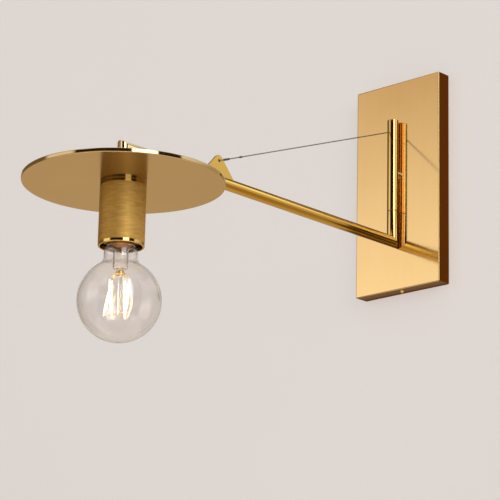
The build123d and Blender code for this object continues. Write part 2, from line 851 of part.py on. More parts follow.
def centre_contact():
    """Springy brass strip that meets the bulb's tip."""
    high = holder_split - block_height
    low = bulb_tip + free_gap
    half_reach = contact_reach / 2
    side_view = Plane(origin=(0, head_y, 0), x_dir=(0, 1, 0), z_dir=(1, 0, 0))
    strip = Polyline((half_reach, high), (-half_reach, high), (-half_reach, high - contact_sheet),
                     (contact_sheet, high - contact_sheet), (half_reach, low + contact_sheet),
                     (-contact_sheet, low + contact_sheet), (-contact_sheet, low),
                     (half_reach + contact_sheet, low), (2 * contact_sheet, high - contact_sheet),
                     (half_reach, high - contact_sheet), close=True)
    return extrude(side_view * make_face(strip), contact_width / 2, both=True)


def clamp_screws():
    solids = []
    base = holder_split + block_rim_height
    for side in (-1, 1):
        x = side * clamp_screw_spread
        shank = upright(clamp_screw_diameter / 2 - seat_fit, base - clamp_screw_length, base,
                        x=x, y=head_y)
        head = upright(clamp_screw_head / 2, base, base + clamp_screw_head_height, x=x, y=head_y)
        slot_low = base + clamp_screw_head_height / 2
        slot = block(clamp_screw_slot_width, head_y - clamp_screw_head,
                     head_y + clamp_screw_head, slot_low, base + clamp_screw_head, x=x)
        solids.append(shank + head - slot)
    return group(solids)


# Bulb

def globe_outline(radius, neck, fillet_radius, lip_radius):
    """Side of the glass, from the bottom pole, over the neck and into the screw cap."""
    reach = radius + fillet_radius
    across = neck + fillet_radius
    up = math.sqrt(reach**2 - across**2)
    join_turn = math.atan2(up, across)
    ball_turn = (join_turn - math.pi / 2) / 2
    flare_turn = math.pi + join_turn / 2
    flare_z = bulb_centre + up
    join = (radius * math.cos(join_turn), 0, bulb_centre + radius * math.sin(join_turn))
    ball_middle = (radius * math.cos(ball_turn), 0, bulb_centre + radius * math.sin(ball_turn))
    flare_middle = (across + fillet_radius * math.cos(flare_turn), 0,
                    flare_z + fillet_radius * math.sin(flare_turn))
    shoulder = (neck, 0, cap_low - shoulder_height)
    lip = (lip_radius, 0, cap_low - cap_sheet)
    return [ThreePointArc((0, 0, bulb_centre - radius), ball_middle, join),
            ThreePointArc(join, flare_middle, (neck, 0, flare_z)),
            Line((neck, 0, flare_z), shoulder),
            Spline(shoulder, lip, tangents=[(0, 0, 1), (0, 0, 1)]),
            Line(lip, (lip_radius, 0, cap_low + glass_tuck))]


def bulb_globe():
    lip = cap_radius - cap_sheet - seat_fit
    outside = globe_outline(globe_radius, neck_radius, neck_fillet, lip)
    inside = globe_outline(globe_radius - globe_glass, neck_radius - globe_glass,
                           neck_fillet + globe_glass, lip - globe_glass)
    return thin_turned(outside, inside)


def bulb_cap():
    """Screw cap: plain skirt, rolled round thread and a tapered crown."""
    sides = []
    for inset in (0, cap_sheet):
        crest = cap_radius - inset
        root = crest - cap_thread_depth
        wave = thread_wave(crest, thread_start, 2 * cap_thread_turns + 1)
        sides.append([Line((crest, 0, cap_low), wave @ 0), wave,
                      Line(wave @ 1, (root, 0, cap_high - inset)),
                      Line((root, 0, cap_high - inset),
                           (crown_radius - inset, 0, crown_high - inset)),
                      Line((crown_radius - inset, 0, crown_high - inset),
                           (crown_radius - insulator_overlap, 0, crown_high - inset))])
    return thin_turned(*sides)


def bulb_insulator():
    high = bulb_tip - tip_height
    plug = crown_radius - insulator_overlap - seat_fit
    plug_low = crown_high - cap_sheet - insulator_plug
    return turned([(0, plug_low), (plug, plug_low), (plug, crown_high + seat_fit),
                   (crown_radius, crown_high + seat_fit), (tip_radius, high), (0, high)], y=head_y)


def bulb_tip_contact():
    low = bulb_tip - tip_height + seat_fit
    return turned([(0, low), (tip_radius, low), (tip_radius / 2, bulb_tip), (0, bulb_tip)],
                  y=head_y)


def bulb_stem():
    """Flared glass stem, sealed into the neck, with the post that holds the filaments."""
    foot_high = cap_low + glass_tuck
    foot = cap_radius - cap_sheet - globe_glass - 2 * seat_fit
    flare_low = cap_low - shoulder_height
    pinch_high = stem_end + 2 * stem_glass
    body = turned([(0, stem_end), (stem_radius - stem_glass, stem_end),
                   (stem_radius, pinch_high), (stem_radius, flare_low),
                   (foot, foot_high - stem_glass), (foot, foot_high),
                   (foot - stem_glass, foot_high), (stem_radius - stem_glass, flare_low),
                   (stem_radius - stem_glass, pinch_high), (0, pinch_high)], y=head_y)
    return body + upright(stem_post_radius, post_tip, stem_end, y=head_y)


def filament_ends():
    """Upper and lower ends of each filament, from shares of the globe radius."""
    rows = []
    turn = math.radians(filament_turn)
    for shares in filament_end_shares:
        ends = []
        for across, towards, height in shares:
            x = globe_radius * (across * math.cos(turn) + towards * math.sin(turn))
            y = globe_radius * (across * math.sin(turn) - towards * math.cos(turn))
            ends.append(Vector(x, head_y + y, bulb_centre + globe_radius * height))
        rows.append(ends)
    return rows


def rod(start, end, radius):
    """A straight round rod between two points."""
    axis = end - start
    return extrude(Plane(origin=start, z_dir=axis) * Circle(radius), axis.length)


def bulb_filaments():
    solids = []
    for upper, lower in filament_ends():
        tip = (upper - lower).normalized() * filament_tip_length
        body = rod(lower + tip, upper - tip, filament_radius)
        solids.append(body + rod(lower, upper, filament_tip_radius))
    return group(solids)


def filament_supports():
    """Wires from the stem to the upper ends, and from the post's tip to the lower ends."""
    solids = []
    reach = support_radius + filament_tip_radius + seat_fit
    for ends in filament_ends():
        hub_places = (stem_end - support_radius, post_tip + support_radius)
        for end, hub_z in zip(ends, hub_places):
            outward = Vector(end.X, end.Y - head_y, 0).normalized()
            hub_radius = stem_post_radius + support_radius + seat_fit
            start = Vector(0, head_y, hub_z) + outward * hub_radius
            stop = end - (end - start).normalized() * reach
            solids.append(rod(start, stop, support_radius))
    return group(solids)


nodes = {
    "wall_plate_cover": wall_plate_cover,
    "wall_bracket": wall_bracket,
    "cover_screws": cover_screws,
    "earth_screw": earth_screw,
    "cable_grommet": cable_grommet,
    "terminal_block": terminal_block,
    "terminal_inserts": terminal_inserts,
    "supply_flex": supply_flex,
    "supply_cores": supply_cores,
    "standoff_stud": standoff_stud,
    "stud_washer": stud_washer,
    "stud_nut": stud_nut,
    "post_knuckle": post_knuckle,
    "upper_bush": upper_bush,
    "lower_bush": lower_bush,
    "seam_washer": seam_washer,
    "pivot_spindle": pivot_spindle,
    "post_top_sleeve": post_top_sleeve,
    "set_screw": set_screw,
    "post_cap": post_cap,
    "post_lower_sleeve": post_lower_sleeve,
    "arm_tube": arm_tube,
    "wire_lug": wire_lug,
    "stay_wire": stay_wire,
    "wire_ferrules": wire_ferrules,
    "wire_anchor": wire_anchor,
    "head_fitting": head_fitting,
    "arm_flex": arm_flex,
    "holder_cores": holder_cores,
    "stem_washer": stem_washer,
    "threaded_nipple": threaded_nipple,
    "disc_shade": disc_shade,
    "holder_cup": holder_cup,
    "lock_nut": lock_nut,
    "holder_cap": holder_cap,
    "contact_block": contact_block,
    "holder_skirt": holder_skirt,
    "screw_shell": screw_shell,
    "centre_contact": centre_contact,
    "clamp_screws": clamp_screws,
    "bulb_globe": bulb_globe,
    "bulb_cap": bulb_cap,
    "bulb_insulator": bulb_insulator,
    "bulb_tip_contact": bulb_tip_contact,
    "bulb_stem": bulb_stem,
    "bulb_filaments": bulb_filaments,
    "filament_supports": filament_supports,
}

for node, make in nodes.items():
    save(make(), node)
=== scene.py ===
import math
import bmesh
import bpy
from mathutils import Matrix, Vector


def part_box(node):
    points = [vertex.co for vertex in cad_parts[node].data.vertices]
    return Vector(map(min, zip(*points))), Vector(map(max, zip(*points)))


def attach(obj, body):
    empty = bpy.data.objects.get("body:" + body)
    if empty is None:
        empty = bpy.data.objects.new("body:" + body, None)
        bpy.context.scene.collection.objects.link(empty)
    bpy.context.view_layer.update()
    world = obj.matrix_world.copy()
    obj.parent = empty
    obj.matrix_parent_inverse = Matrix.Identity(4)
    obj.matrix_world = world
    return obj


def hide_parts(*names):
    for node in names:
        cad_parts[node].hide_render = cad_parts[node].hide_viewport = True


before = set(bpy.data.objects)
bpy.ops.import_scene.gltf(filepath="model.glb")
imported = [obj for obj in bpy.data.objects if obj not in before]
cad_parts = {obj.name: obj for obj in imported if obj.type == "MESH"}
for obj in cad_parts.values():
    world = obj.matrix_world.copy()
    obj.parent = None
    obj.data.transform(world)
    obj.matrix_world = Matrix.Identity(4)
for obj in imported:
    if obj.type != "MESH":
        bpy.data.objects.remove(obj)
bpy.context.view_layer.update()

# Swing-arm wall lamp. Metres, in the same frame as the part: X is to the right
# along the wall, Y is into the wall, Z is up.

MM = 0.001


def middle(node):
    low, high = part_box(node)
    return (low + high) / 2


def low_of(node):
    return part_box(node)[0]


def high_of(node):
    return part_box(node)[1]


# Places and sizes read from the frame
POST_Y = middle("post_knuckle").y
ARM_Z = middle("arm_tube").z
HEAD_Y = middle("disc_shade").y
TUBE_RADIUS = high_of("post_knuckle").x
DISC_RADIUS = high_of("disc_shade").x
CUP_TOP = high_of("holder_cup").z
CUP_LOW = low_of("holder_cup").z
CUP_RADIUS = high_of("holder_cup").x
BOX_LOW = low_of("wall_plate_cover").z
CAP_LOW = low_of("bulb_cap").z
# The radius that the globe's facets reach sideways, and its true one
GLOBE_RADIUS = high_of("bulb_globe").x
TRUE_GLOBE_RADIUS = 40 * MM
BULB_Z = low_of("bulb_globe").z + TRUE_GLOBE_RADIUS

# Sizes that several pieces share
TUBE_BORE = 4.5 * MM
SLEEVE_BORE = 4.02 * MM
NIPPLE_HOLE = 5.05 * MM
CUP_BAND = 3.2 * MM
# A tube runs so far past a corner before its mitre is cut
PAST_CORNER = 20 * MM
# Breaks of sharp edges: as a rule, and where two lengths of the post meet
EDGE = 0.25 * MM
SEAM_EDGE = 0.07 * MM
# Thin strip beside a rounded corner, which keeps a long side straight in the light
HOLD = 0.06 * MM
LONG_SIDE = 12 * HOLD
# Steps around a turned piece
ROUND = 96
FINE_ROUND = 128
DISC_ROUND = 192
GLOBE_ROUND = 112
STEM_ROUND = 64
RING_ROUND = 28
ROD_ROUND = 20
# Corners closer than this are one, and points this near a mitre plane lie on it
WELD = 1e-7
ON_PLANE = 1e-8

# Glass of the bulb
GLASS = 1.0 * MM
NECK_END = CAP_LOW - 4.5 * MM
GLASS_TOP = CAP_LOW + 3.5 * MM
LIP_RADIUS = 12.68 * MM
STEM_LOW = BULB_Z + 30 * MM
STEM_RADIUS = 7.2 * MM
STEM_POST_LOW = STEM_LOW - 44 * MM
STEM_POST_RADIUS = 1.4 * MM
# The filaments face the photo's camera by this turn. Their upper and lower ends are given
# across, forwards and up, in globe radii
FILAMENT_TURN = math.radians(43.3)
FILAMENT_ENDS = (
    ((-0.238, 0.10, 0.488), (-0.150, 0.15, -0.388)),
    ((-0.185, -0.125, 0.512), (-0.360, -0.075, -0.362)),
    ((0.233, 0.10, 0.488), (0.175, 0.25, -0.350)),
    ((0.110, -0.150, 0.512), (0.135, -0.25, -0.388)))
# Radius of the coat at even steps from end to end, in millimetres
FILAMENT_RADII = (0.55, 0.90, 1.12, 1.26, 1.34, 1.34, 1.26, 1.12, 0.90, 0.55)

UPRIGHT_POST = Matrix.Translation((0, POST_Y, 0))
UPRIGHT_HEAD = Matrix.Translation((0, HEAD_Y, 0))
ALONG_ARM = Matrix.Translation((0, 0, ARM_Z)) @ Matrix.Rotation(math.radians(-90), 4, "X")


# Shader sums

class Shade:
    """A socket of a finish. Sums written on it add Math nodes."""

    def __init__(self, finish, socket):
        self.finish = finish
        self.socket = socket

    def sum(self, operation, first, second):
        return self.finish.node("Math", {0: first, 1: second}, operation=operation)

    def __add__(self, other):
        return self.sum("ADD", self, other)

    __radd__ = __add__

    def __rsub__(self, other):
        return self.sum("SUBTRACT", other, self)

    def __mul__(self, other):
        return self.sum("MULTIPLY", self, other)

    __rmul__ = __mul__

    def __pow__(self, other):
        return self.sum("POWER", self, other)

    def capped(self):
        """The value, or 1 where it is more."""
        return self.sum("MINIMUM", self, 1.0)


class Finish:
    """A node tree of a material or of the world."""

    def __init__(self, owner):
        owner.use_nodes = True
        self.owner = owner
        self.tree = owner.node_tree
        self.tree.nodes.clear()

    def node(self, kind, inputs=(), output=0, **settings):
        """A node of that kind: its settings first, then the values or links of its sockets."""
        made = self.tree.nodes.new("ShaderNode" + kind)
        for name, value in settings.items():
            setattr(made, name, value)
        for name, value in dict(inputs).items():
            if isinstance(value, Shade):
                self.tree.links.new(value.socket, made.inputs[name])
            else:
                made.inputs[name].default_value = value
        return Shade(self, made.outputs[output]) if len(made.outputs) else None

    def mix(self, share, first, second):
        """A colour between two colours."""
        colours = [c if isinstance(c, Shade) else (*c, 1.0) for c in (first, second)]
        return self.node("Mix", {0: share, 6: colours[0], 7: colours[1]}, output=2,
                         data_type="RGBA")

    def ease(self, value, low, high):
        """0 below low, 1 above high, and smooth between them."""
        return self.node("MapRange", {0: value, 1: low, 2: high}, interpolation_type="SMOOTHSTEP")

    def between(self, value, low, high, soft):
        """1 from low to high and 0 outside, with soft ends."""
        rise = self.ease(value, low - soft, low + soft)
        fall = self.ease(value, high - soft, high + soft)
        return rise * (1 - fall)

    def spot(self):
        """Place on the piece."""
        return self.node("TexCoord", output=3)

    def stretched(self, vector, scale):
        return self.node("VectorMath", {0: vector, 1: scale}, operation="MULTIPLY")

    def noise(self, vector, scale, detail=2.0, roughness=0.5):
        return self.node("TexNoise", {"Vector": vector, "Scale": scale, "Detail": detail,
                                      "Roughness": roughness})

    def cloud(self, scale, detail=3):
        """Slow noise over the piece, so many cells to the metre."""
        return self.noise(self.spot(), scale, detail)

    def grain(self, scale, detail, roughness=0.5):
        """Noise over the piece with its own cells to the metre along X, Y and Z."""
        return self.noise(self.stretched(self.spot(), scale), 1.0, detail, roughness)

    def parts(self, vector):
        return [self.node("SeparateXYZ", {0: vector}, output=n) for n in range(3)]

    def heading(self, x, y):
        """Angle of a level direction from X towards Y, in radians."""
        return self.node("Math", {0: y, 1: x}, operation="ARCTAN2")

    def around_head(self):
        """Radius, angle and height about the upright axis of the head, as three values."""
        moved = self.node("VectorMath", {0: self.spot(), 1: (0, HEAD_Y, 0)}, operation="SUBTRACT")
        x, y, z = self.parts(moved)
        return (x * x + y * y) ** 0.5, self.heading(x, y), z

    def vector(self, x, y, z):
        return self.node("CombineXYZ", {0: x, 1: y, 2: z})

    def bump(self, height, strength, distance):
        return self.node("Bump", {"Height": height, "Strength": strength, "Distance": distance})

    def ray(self, kind):
        return self.node("LightPath", output=kind)

    def looked_at(self):
        """1 for the camera's rays, also through glass, and 0 for all others."""
        return (self.ray("Is Camera Ray") + self.ray("Is Transmission Ray")).capped()

    def mirrored(self):
        """1 for what a mirror sees, and 0 for what the camera sees straight."""
        return self.ray("Is Glossy Ray") * (1 - self.ray("Is Camera Ray"))

    def surface(self, **inputs):
        """The principled surface, from input names written with underscores."""
        named = {}
        for name, value in inputs.items():
            if isinstance(value, tuple) and len(value) == 3:
                value = (*value, 1.0)
            named[name.replace("_", " ")] = value
        shader = self.node("BsdfPrincipled", named)
        self.node("OutputMaterial", {"Surface": shader})
        return self.owner


def finish(name):
    return Finish(bpy.data.materials.new(name))


def darker(tone, share):
    return tuple(share * c for c in tone)


def satin_plate():
    """Gold-coloured sheet, brushed upright and lacquered, with a soft mirror sheen."""
    f = finish("satin_gold_plate")
    strokes = f.grain((2600, 2600, 60), 2)
    wide_strokes = f.grain((500, 500, 9), 3)
    cloud = f.cloud(14)
    tone = f.mix(cloud, (0.80, 0.53, 0.225), (0.90, 0.62, 0.285))
    return f.surface(
        Base_Color=f.mix(0.35 * wide_strokes, tone, (0.93, 0.66, 0.32)),
        Metallic=1.0,
        Roughness=0.085 + 0.03 * cloud + 0.03 * wide_strokes,
        Normal=f.bump(strokes, 0.06, 0.02 * MM))


def polished_brass(name="polished_brass", tone=(0.90, 0.61, 0.22), deep=(0.82, 0.52, 0.16),
                   shine=0.03):
    """Buffed brass with faint polishing marks."""
    f = finish(name)
    cloud = f.cloud(22)
    marks = f.grain((900, 140, 900), 3)
    return f.surface(
        Base_Color=f.mix(cloud, deep, tone),
        Metallic=1.0,
        Roughness=shine + 0.025 * cloud + 0.015 * marks,
        Normal=f.bump(marks, 0.03, 0.02 * MM))


def satin_tube():
    """Tube brushed along its length."""
    f = finish("satin_gold_tube")
    strokes = f.grain((2200, 40, 2200), 2)
    cloud = f.cloud(18)
    return f.surface(
        Base_Color=f.mix(cloud, (0.80, 0.50, 0.10), (0.90, 0.60, 0.15)),
        Metallic=1.0,
        Roughness=0.10 + 0.04 * cloud + 0.05 * strokes,
        Normal=f.bump(strokes, 0.10, 0.02 * MM))


def spun_disc():
    """Disc with very fine rings from the lathe and a polished rim."""
    f = finish("spun_gold_disc")
    radius, angle, height = f.around_head()
    rings = f.noise(f.vector(radius * 3000, angle * 1.5, height * 3000), 1.0, 2)
    cloud = f.cloud(12)
    rim = f.ease(radius, DISC_RADIUS - 0.50 * MM, DISC_RADIUS - 0.22 * MM)
    return f.surface(
        Base_Color=f.mix(cloud, (0.76, 0.55, 0.28), (0.85, 0.63, 0.34)),
        Metallic=1.0,
        Roughness=(0.13 + 0.04 * cloud + 0.04 * rings) * (1 - rim) + 0.06 * rim,
        Normal=f.bump(rings, 0.07, 0.02 * MM))


def turned_cup():
    """Cup with a finely ringed matt body between two polished bands."""
    f = finish("turned_gold_cup")
    radius, angle, height = f.around_head()
    body = f.between(height, CUP_LOW + CUP_BAND, CUP_TOP - CUP_BAND, 0.1 * MM)
    outside = f.ease(radius, CUP_RADIUS - 0.6 * MM, CUP_RADIUS - 0.3 * MM)
    body = body * outside
    lathe = f.noise(f.vector(angle * 2.5, radius * 200, height * 760), 1.0, 3, 0.6)
    fine_lathe = f.noise(f.vector(angle * 12, radius * 200, height * 1500), 1.0, 2)
    cloud = f.cloud(30)
    band_tone = f.mix(cloud, (0.82, 0.53, 0.15), (0.90, 0.61, 0.20))
    body_tone = f.mix(f.ease(lathe, 0.34, 0.66), (0.66, 0.42, 0.115), (0.80, 0.525, 0.165))
    return f.surface(
        Base_Color=f.mix(body, band_tone, body_tone),
        Metallic=1.0,
        Roughness=0.04 + 0.03 * cloud + body * (0.52 + 0.10 * lathe),
        Normal=f.bump(body * (lathe + 0.5 * fine_lathe), 0.5, 0.06 * MM))


def dull_steel(name, tone, rough, grain=(400, 400, 400)):
    """Plated or bare metal with a mottled grain."""
    f = finish(name)
    mottle = f.grain(grain, 4, 0.6)
    cloud = f.cloud(35)
    return f.surface(
        Base_Color=f.mix(0.5 * mottle + 0.5 * cloud, darker(tone, 0.72), tone),
        Metallic=1.0,
        Roughness=rough + 0.12 * mottle,
        Normal=f.bump(mottle, 0.12, 0.04 * MM))


def moulded(name, tone, rough, grain=1800):
    """Moulded plastic, rubber or ceramic with a fine grain."""
    f = finish(name)
    grains = f.noise(f.spot(), grain, 3, 0.6)
    cloud = f.cloud(60, 2)
    return f.surface(
        Base_Color=f.mix(cloud, darker(tone, 0.8), tone),
        Roughness=rough + 0.1 * grains,
        Normal=f.bump(grains, 0.15, 0.05 * MM))


def clear_glass(name, tint=(0.94, 0.915, 0.895), rough=0.0):
    """Blown glass with slow waves in it."""
    f = finish(name)
    waves = f.grain((38, 38, 15), 2)
    return f.surface(
        Base_Color=f.mix(waves, tint, (0.97, 0.95, 0.935)),
        Transmission_Weight=1.0,
        IOR=1.47,
        Roughness=rough,
        Normal=f.bump(waves, 0.10, 1.0 * MM))


def lit_phosphor():
    """Yellow coat of a lit filament: white hot to look at in the middle, amber at its edge."""
    f = finish("lit_phosphor")
    edge = f.node("LayerWeight", {"Blend": 0.45}, output=1)
    grains = f.cloud(1600, 2)
    glow = f.mix(edge, (0.150, 0.132, 0.085), (0.090, 0.054, 0.012))
    return f.surface(
        Base_Color=f.mix(grains, (0.95, 0.62, 0.12), (1.0, 0.74, 0.22)),
        Roughness=0.5,
        Emission_Color=f.mix(f.looked_at(), (1.0, 0.66, 0.30), glow),
        Emission_Strength=40.0)


# Shapes

class Section:
    """Half section of a turned part, drawn from point to point as radius and height."""

    def __init__(self, radius, height, edge=0.0):
        self.mesh = bmesh.new()
        self.first = self.tip = self.mesh.verts.new((radius, 0, height))
        self.corners = [(self.tip, edge)]
        self.curved = set()

    def line(self, radius, height, edge=EDGE):
        """Goes straight to that radius and height, where the corner is broken by that edge."""
        point = self.mesh.verts.new((radius, 0, height))
        self.mesh.edges.new((self.tip, point))
        self.tip = point
        self.corners.append((point, edge))
        return self

    def arc(self, radius, height, turn, steps):
        """Goes round the point at that radius and height, by so many degrees anticlockwise."""
        straight = set(self.mesh.verts)
        made = bmesh.ops.spin(self.mesh, geom=[self.tip], cent=(radius, 0, height),
                              axis=(0, -1, 0), angle=math.radians(turn), steps=steps)
        self.tip = made["geom_last"][0]
        self.curved |= set(self.mesh.verts) - straight
        return self

    def close(self):
        self.mesh.edges.new((self.tip, self.first))
        return self

    def turn(self, steps=ROUND):
        """The section with its corners rounded, spun into a closed skin."""
        mesh = self.mesh
        for point, edge in self.corners:
            if edge > 0:
                bmesh.ops.bevel(mesh, geom=[point], offset=edge, segments=3, profile=0.5,
                                affect="VERTICES", material=-1)
        for side in [e for e in mesh.edges if e.calc_length() > LONG_SIDE
                     and not self.curved.issuperset(e.verts)]:
            length = side.calc_length()
            far = side.verts[1]
            point = bmesh.utils.edge_split(side, side.verts[0], HOLD / length)[1]
            last = next(e for e in point.link_edges if far in e.verts)
            bmesh.utils.edge_split(last, far, HOLD / last.calc_length())
        bmesh.ops.spin(mesh, geom=mesh.verts[:] + mesh.edges[:], cent=(0, 0, 0),
                       axis=(0, 0, 1), angle=2 * math.pi, steps=steps, use_merge=True)
        bmesh.ops.remove_doubles(mesh, verts=mesh.verts, dist=WELD)
        bmesh.ops.recalc_face_normals(mesh, faces=mesh.faces)
        return mesh


def tube_section(outer, inner, low, high, edge=EDGE, bore_edge=EDGE / 2):
    section = Section(inner, low, bore_edge)
    section.line(outer, low, edge).line(outer, high, edge).line(inner, high, bore_edge)
    return section.close()


def moved(mesh, matrix):
    bmesh.ops.transform(mesh, matrix=matrix, verts=mesh.verts)
    return mesh


def joined(first, second):
    """Two meshes as one."""
    carrier = bpy.data.meshes.new("carrier")
    second.to_mesh(carrier)
    first.from_mesh(carrier)
    bpy.data.meshes.remove(carrier)
    second.free()
    return first


def mitred(mesh, corner, normal, edge=0.12 * MM):
    """The tube cut off along a plane, its wall closed again and its cut edges broken."""
    cut = bmesh.ops.bisect_plane(mesh, geom=mesh.verts[:] + mesh.edges[:] + mesh.faces[:],
                                 plane_co=corner, plane_no=normal, clear_outer=True,
                                 dist=ON_PLANE)
    rims = [e for e in cut["geom_cut"] if isinstance(e, bmesh.types.BMEdge)]
    bmesh.ops.bridge_loops(mesh, edges=rims)
    bmesh.ops.bevel(mesh, geom=rims, offset=edge, segments=2, profile=0.5,
                    affect="EDGES", material=-1)
    bmesh.ops.recalc_face_normals(mesh, faces=mesh.faces)
    return mesh


def piece(name, mesh, body, material, slot, *nodes, sharp=32):
    """One finished piece that stands for CAD nodes and rides on their body."""
    for face in mesh.faces:
        face.smooth = True
    for side in mesh.edges:
        side.smooth = len(side.link_faces) != 2 or side.calc_face_angle(0) < math.radians(sharp)
    data = bpy.data.meshes.new(name)
    mesh.to_mesh(data)
    mesh.free()
    data.materials.append(material)
    made = bpy.data.objects.new(name, data)
    bpy.context.scene.collection.objects.link(made)
    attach(made, body)
    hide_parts(*nodes)
    return made


def paint(material, *nodes):
    """A finish for CAD nodes that stay as they are."""
    for name in nodes:
        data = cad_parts[name].data
        data.materials.clear()
        data.materials.append(material)


# Wall box, ear, elbow, cup and disc

def plate_cover():
    """Folded sheet box, open at the back, with softened folds."""
    low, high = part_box("wall_plate_cover")
    sheet = 1.5 * MM
    fold = 1.0 * MM
    margin = 0.15 * MM
    least_side = (10 * MM) ** 2
    mesh = bmesh.new()
    bmesh.ops.create_cube(mesh, size=1.0)
    bmesh.ops.scale(mesh, vec=high - low, verts=mesh.verts)
    bmesh.ops.translate(mesh, vec=(low + high) / 2, verts=mesh.verts)
    back = [f for f in mesh.faces if f.normal.y > 0.5]
    bmesh.ops.delete(mesh, geom=back, context="FACES_ONLY")
    folds = [e for e in mesh.edges if len(e.link_faces) == 2]
    bmesh.ops.bevel(mesh, geom=folds, offset=fold, segments=5, profile=0.5,
                    affect="EDGES", material=-1)
    flats = [f for f in mesh.faces if f.calc_area() > least_side]
    bmesh.ops.inset_individual(mesh, faces=flats, thickness=margin)
    bmesh.ops.recalc_face_normals(mesh, faces=mesh.faces)
    if sum(f.normal.y * f.calc_area() for f in mesh.faces) > 0:
        bmesh.ops.reverse_faces(mesh, faces=mesh.faces)
    bmesh.ops.solidify(mesh, geom=mesh.faces[:], thickness=sheet)
    return mesh


def wire_ear():
    """Flat ear with a rounded tip and an eye for the wire."""
    low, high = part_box("wire_lug")
    half_base = 22 * MM
    base_z = ARM_Z + 5.5 * MM
    tip_radius = 5.8 * MM
    eye_radius = 1.3 * MM
    thickness = 2.0 * MM
    edge = 0.3 * MM
    clear_of_base = 0.2 * MM
    # Edges get broken where the faces turn by more than so many radians
    least_turn = 1.2
    same_side = 1e-6
    eye_z = high.z - tip_radius
    centre_y = (low.y + high.y) / 2
    rise = eye_z - base_z
    slant = math.atan2(rise, half_base) + math.asin(tip_radius / math.hypot(half_base, rise))
    mesh = bmesh.new()
    corners = [mesh.verts.new((0, centre_y + y, base_z + z)) for y, z in (
        (-half_base, 0), (half_base, 0), (0, half_base * math.tan(slant)))]
    mesh.faces.new(corners)
    reach = tip_radius * math.tan(slant)
    bmesh.ops.bevel(mesh, geom=[corners[2]], offset=reach, segments=14, profile=0.5,
                    affect="VERTICES", material=-1)
    bmesh.ops.delete(mesh, geom=mesh.faces[:], context="FACES_ONLY")
    eye = bmesh.ops.create_circle(mesh, segments=RING_ROUND, radius=eye_radius)["verts"]
    bmesh.ops.rotate(mesh, verts=eye, cent=(0, 0, 0),
                     matrix=Matrix.Rotation(math.radians(90), 3, "Y"))
    bmesh.ops.translate(mesh, verts=eye, vec=(0, centre_y, eye_z))
    bmesh.ops.triangle_fill(mesh, edges=mesh.edges[:], use_beauty=True)
    bmesh.ops.translate(mesh, verts=mesh.verts, vec=(-thickness / 2, 0, 0))
    grown = bmesh.ops.extrude_face_region(mesh, geom=mesh.faces[:], use_keep_orig=True)
    far = [v for v in grown["geom"] if isinstance(v, bmesh.types.BMVert)]
    bmesh.ops.translate(mesh, verts=far, vec=(thickness, 0, 0))
    bmesh.ops.recalc_face_normals(mesh, faces=mesh.faces)
    rims = [e for e in mesh.edges
            if len(e.link_faces) == 2 and e.calc_face_angle(0) > least_turn
            and min(v.co.z for v in e.verts) > base_z + clear_of_base
            and abs(e.verts[0].co.x - e.verts[1].co.x) < same_side]
    bmesh.ops.bevel(mesh, geom=rims, offset=edge, segments=2, profile=0.5,
                    affect="EDGES", material=-1)
    return mesh


def corner_fitting():
    """Mitred polished elbow: a socket leg on the arm and a drop leg over the disc."""
    low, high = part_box("head_fitting")
    radius = high.x
    bore = 3.8 * MM
    socket = 6.02 * MM
    socket_end = HEAD_Y + 10 * MM
    thread = 5.02 * MM
    thread_end = low.z + 12 * MM
    mouth_edge = 0.7 * MM
    inner_edge = 0.15 * MM
    mitre_edge = 0.1 * MM
    corner = Vector((0, HEAD_Y, ARM_Z))
    level_end = HEAD_Y - PAST_CORNER
    level_leg = Section(bore, level_end).line(radius, level_end, 0)
    level_leg.line(radius, high.y, mouth_edge).line(socket, high.y, inner_edge)
    level_leg.line(socket, socket_end, 0).line(bore, socket_end, 0).close()
    level_leg = moved(level_leg.turn(), ALONG_ARM)
    mitred(level_leg, corner, (0, -1, -1), mitre_edge)
    drop_end = ARM_Z + PAST_CORNER
    drop_leg = Section(bore, drop_end).line(bore, thread_end, 0).line(thread, thread_end, 0)
    drop_leg.line(thread, low.z, inner_edge).line(radius, low.z)
    drop_leg.line(radius, drop_end, 0).close()
    drop_leg = moved(drop_leg.turn(), UPRIGHT_HEAD)
    mitred(drop_leg, corner, (0, 1, 1), mitre_edge)
    return joined(level_leg, drop_leg)


def holder_cup():
    """Cup, open below, with a fine groove beside each polished band."""
    wall = 2.0 * MM
    groove_depth = 0.25 * MM
    half_groove = 0.2 * MM
    chamfer = 0.5 * MM
    fine_edge = 0.08 * MM
    bore_edge = 0.1 * MM
    mouth_edge = 0.2 * MM
    top_edge = 0.3 * MM
    roof_edge = 0.8 * MM
    inner = CUP_RADIUS - wall
    root = CUP_RADIUS - groove_depth
    roof = CUP_TOP - wall
    cup = Section(NIPPLE_HOLE, CUP_TOP, bore_edge).line(CUP_RADIUS, CUP_TOP, top_edge)
    for groove in (CUP_TOP - CUP_BAND, CUP_LOW + CUP_BAND):
        upper = groove + half_groove
        lower = groove - half_groove
        cup.line(CUP_RADIUS, upper, fine_edge).line(root, upper, 0).line(root, lower, 0)
        cup.line(CUP_RADIUS, lower, fine_edge)
    cup.line(CUP_RADIUS, CUP_LOW + chamfer, fine_edge)
    cup.line(CUP_RADIUS - chamfer, CUP_LOW, fine_edge).line(inner, CUP_LOW, mouth_edge)
    cup.line(inner, roof, roof_edge).line(NIPPLE_HOLE, roof, bore_edge).close()
    return moved(cup.turn(FINE_ROUND), UPRIGHT_HEAD)


def disc():
    low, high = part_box("disc_shade")
    rim_edge = 0.7 * MM
    section = tube_section(DISC_RADIUS, NIPPLE_HOLE, low.z, high.z, rim_edge)
    return moved(section.turn(DISC_ROUND), UPRIGHT_HEAD)


# Bulb

